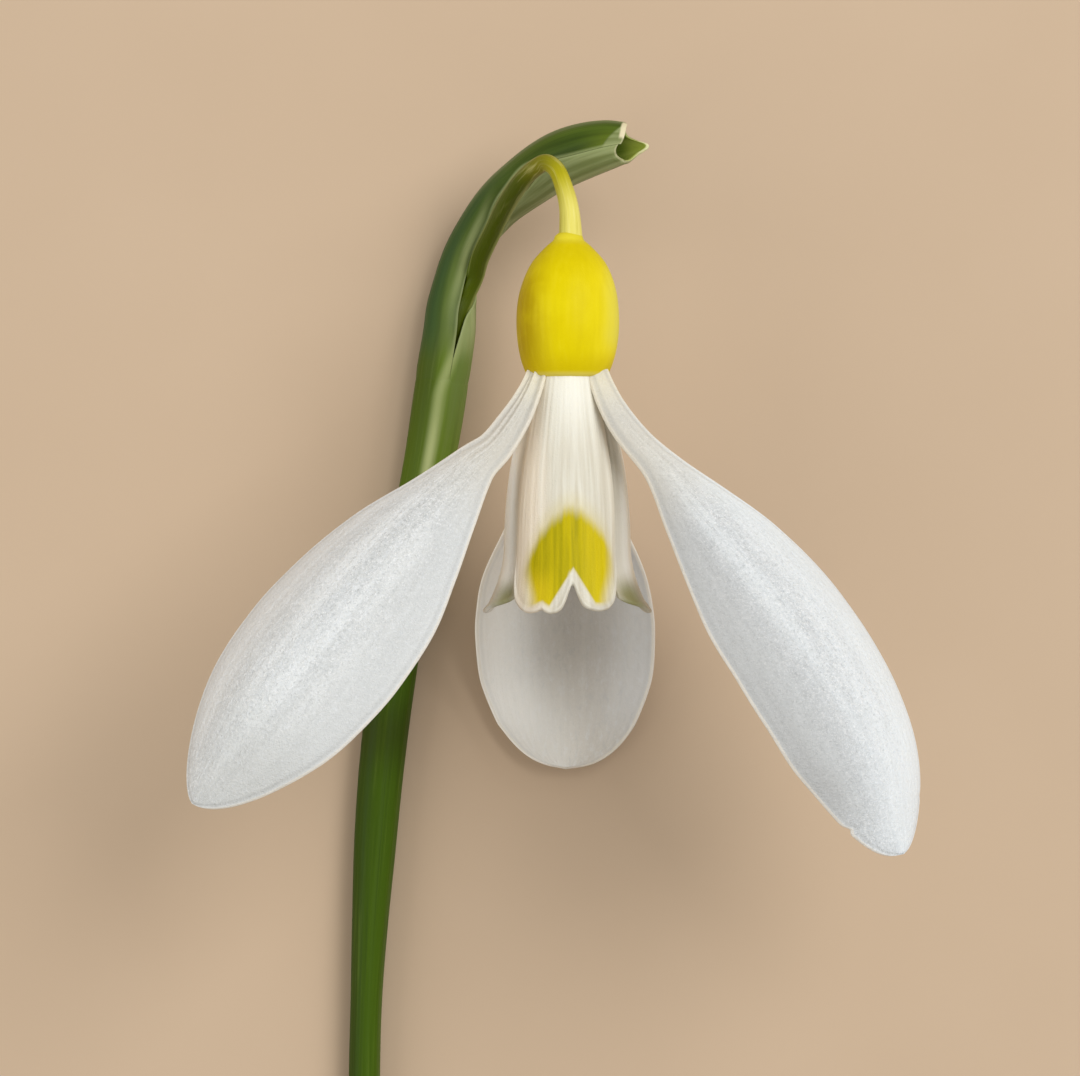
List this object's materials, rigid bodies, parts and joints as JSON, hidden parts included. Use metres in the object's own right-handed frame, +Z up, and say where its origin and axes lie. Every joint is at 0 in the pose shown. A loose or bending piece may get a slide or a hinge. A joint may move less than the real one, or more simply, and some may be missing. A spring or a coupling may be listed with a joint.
{
  "type": "snowdrop flower",
  "caption": "Nodding white snowdrop flower with a yellow ovary, notched inner cup, arched stalk, green spathe and cut stem, lying on its side.",
  "frame": {"origin": "middle of the lowest side of the flower's box, on the surface that it lies on", "axes": "+Y along the flower's axis, from the petal tips towards the ovary and the arch; +X to the right as the flower is looked down on; +Z up, away from the surface"},
  "size_m": [0.036, 0.065, 0.0219],
  "materials": {
    "scape_green": "smooth, slightly waxy plant skin with lengthwise stripes",
    "spathe_green": "smooth dark green plant skin with a paler, thin membrane and light rims",
    "pedicel_green_yellow": "smooth plant skin, green at its root and light yellow at the ovary",
    "ovary_yellow": "glossy waxy yellow plant skin",
    "outer_petal_white": "matt white petal with fine lengthwise veins",
    "inner_petal_white": "matt cream-white fluted petal with a yellow mark",
    "stamen_orange": "matt grainy anther on a pale filament",
    "style_cream": "smooth pale plant skin"
  },
  "bodies": {
    "root": {"scape": "scape_green", "spathe": "spathe_green", "pedicel": "pedicel_green_yellow", "ovary": "ovary_yellow", "outer_petal_left": "outer_petal_white", "outer_petal_right": "outer_petal_white", "outer_petal_back": "outer_petal_white", "inner_petal_front": "inner_petal_white", "inner_petal_back_left": "inner_petal_white", "inner_petal_back_right": "inner_petal_white", "stamen_1": "stamen_orange", "stamen_2": "stamen_orange", "stamen_3": "stamen_orange", "stamen_4": "stamen_orange", "stamen_5": "stamen_orange", "stamen_6": "stamen_orange", "style": "style_cream"}
  },
  "joints": []
}
